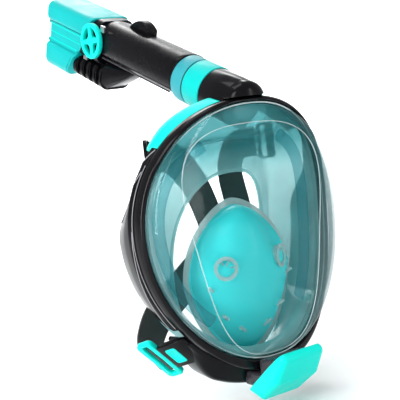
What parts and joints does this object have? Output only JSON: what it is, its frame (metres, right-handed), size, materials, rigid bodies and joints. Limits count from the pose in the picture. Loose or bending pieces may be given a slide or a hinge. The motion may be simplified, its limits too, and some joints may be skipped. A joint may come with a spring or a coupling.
{
  "type": "full face snorkel",
  "caption": "Diving mask that covers the whole face, with a clear lens, silicone skirt, nose and mouth cup, plug-in side-dial snorkel and head strap.",
  "frame": {"origin": "centre of the face opening", "axes": "+X across the face to the wearer's left, +Y from the lens towards the face and the back of the head, +Z towards the brow"},
  "size_m": [0.214, 0.3434, 0.3799],
  "materials": {
    "lens_clear": "clear moulded, polished",
    "frame_black": "gloss",
    "shell_turquoise": "gloss",
    "ring_dull": "satin",
    "skirt_silicone": "translucent silicone, satin",
    "duct_teal": "translucent",
    "cup_silicone": "satin silicone",
    "clear_fitting": "clear",
    "flap_silicone": "soft silicone",
    "seal_black": "matte",
    "float_white": "matte",
    "seal_red": "matte",
    "clip_metal": "brushed",
    "strap_web": "woven elastic"
  },
  "bodies": {
    "mask": {"lens": "lens_clear", "front_frame": "frame_black", "port_hood": "frame_black", "brow_cover_left": "shell_turquoise", "brow_cover_right": "shell_turquoise", "side_arm_left": "frame_black", "side_arm_right": "frame_black", "chin_housing": "frame_black", "chin_valve_seat": "frame_black", "chin_cover": "shell_turquoise", "face_skirt": "skirt_silicone", "air_duct_left": "duct_teal", "air_duct_right": "duct_teal", "nose_cup": "cup_silicone", "cup_studs": "clear_fitting", "inhale_seat_left": "clear_fitting", "inhale_seat_right": "clear_fitting", "snorkel_socket": "frame_black", "port_seal": "seal_black", "lock_collar": "shell_turquoise", "clip_arm_left": "frame_black", "clip_arm_right": "frame_black", "strap_clip_left": "shell_turquoise", "strap_clip_right": "shell_turquoise", "strap_anchor_left": "frame_black", "strap_anchor_right": "frame_black", "strap_upper_left": "strap_web", "strap_upper_right": "strap_web", "strap_pad": "strap_web", "strap_lower_left": "strap_web", "strap_lower_right": "strap_web", "frame_screws": "clip_metal"},
    "snorkel_plug": {"tube_ring": "ring_dull", "plug_seal": "seal_black"},
    "snorkel": {"snorkel_tube": "frame_black", "air_divider": "frame_black", "dry_top_body": "frame_black", "intake_grille": "frame_black", "rear_vent": "frame_black", "cap_clip": "clip_metal", "dry_top_cap": "shell_turquoise", "float_guide": "frame_black"},
    "float_body": {"float": "float_white", "float_seal": "seal_red"},
    "dial": {"dial_wheel": "shell_turquoise"},
    "inhale_left": {"inhale_flap_left": "flap_silicone"},
    "inhale_right": {"inhale_flap_right": "flap_silicone"},
    "chin_flap": {"chin_valve_flap": "flap_silicone"},
    "latch_l": {"latch_left": "shell_turquoise"},
    "latch_r": {"latch_right": "shell_turquoise"}
  },
  "joints": [
    {"name": "plug_pull", "type": "slide", "parent": "mask", "child": "snorkel_plug", "axis": [0, 0.9348, 0.3551], "range_m": [0, 0.028]},
    {"name": "snorkel_turn", "type": "hinge", "parent": "snorkel_plug", "child": "snorkel", "pos_m": [0, 0.02622, 0.1675], "axis": [0, 0.9348, 0.3551], "range_deg": [-90, 90]},
    {"name": "float_slide", "type": "slide", "parent": "snorkel", "child": "float_body", "axis": [0, 0.9348, 0.3551], "range_m": [0, 0.009]},
    {"name": "dial_turn", "type": "hinge", "parent": "snorkel", "child": "dial", "pos_m": [0, 0.15186, 0.21662], "axis": [-1, 0, 0], "range_deg": [0, 90]},
    {"name": "inhale_flap_l", "type": "hinge", "parent": "mask", "child": "inhale_left", "pos_m": [-0.0284, -0.03243, 0.0113], "axis": [0.866, -0.5, 0], "range_deg": [0, 20], "stiffness_Nm_per_rad": 0.002},
    {"name": "inhale_flap_r", "type": "hinge", "parent": "mask", "child": "inhale_right", "pos_m": [0.0284, -0.03243, 0.0113], "axis": [0.866, 0.5, 0], "range_deg": [0, 20], "stiffness_Nm_per_rad": 0.002},
    {"name": "chin_flap_lift", "type": "hinge", "parent": "mask", "child": "chin_flap", "pos_m": [0, -0.05387, -0.10061], "axis": [1, 0, 0], "range_deg": [0, 6], "stiffness_Nm_per_rad": 0.004},
    {"name": "latch_press_left", "type": "slide", "parent": "mask", "child": "latch_l", "axis": [0.667, 0.4263, 0.6111], "range_m": [0, 0.0008], "stiffness_N_per_m": 900},
    {"name": "latch_press_right", "type": "slide", "parent": "mask", "child": "latch_r", "axis": [-0.667, 0.4263, 0.6111], "range_m": [0, 0.0008], "stiffness_N_per_m": 900}
  ]
}
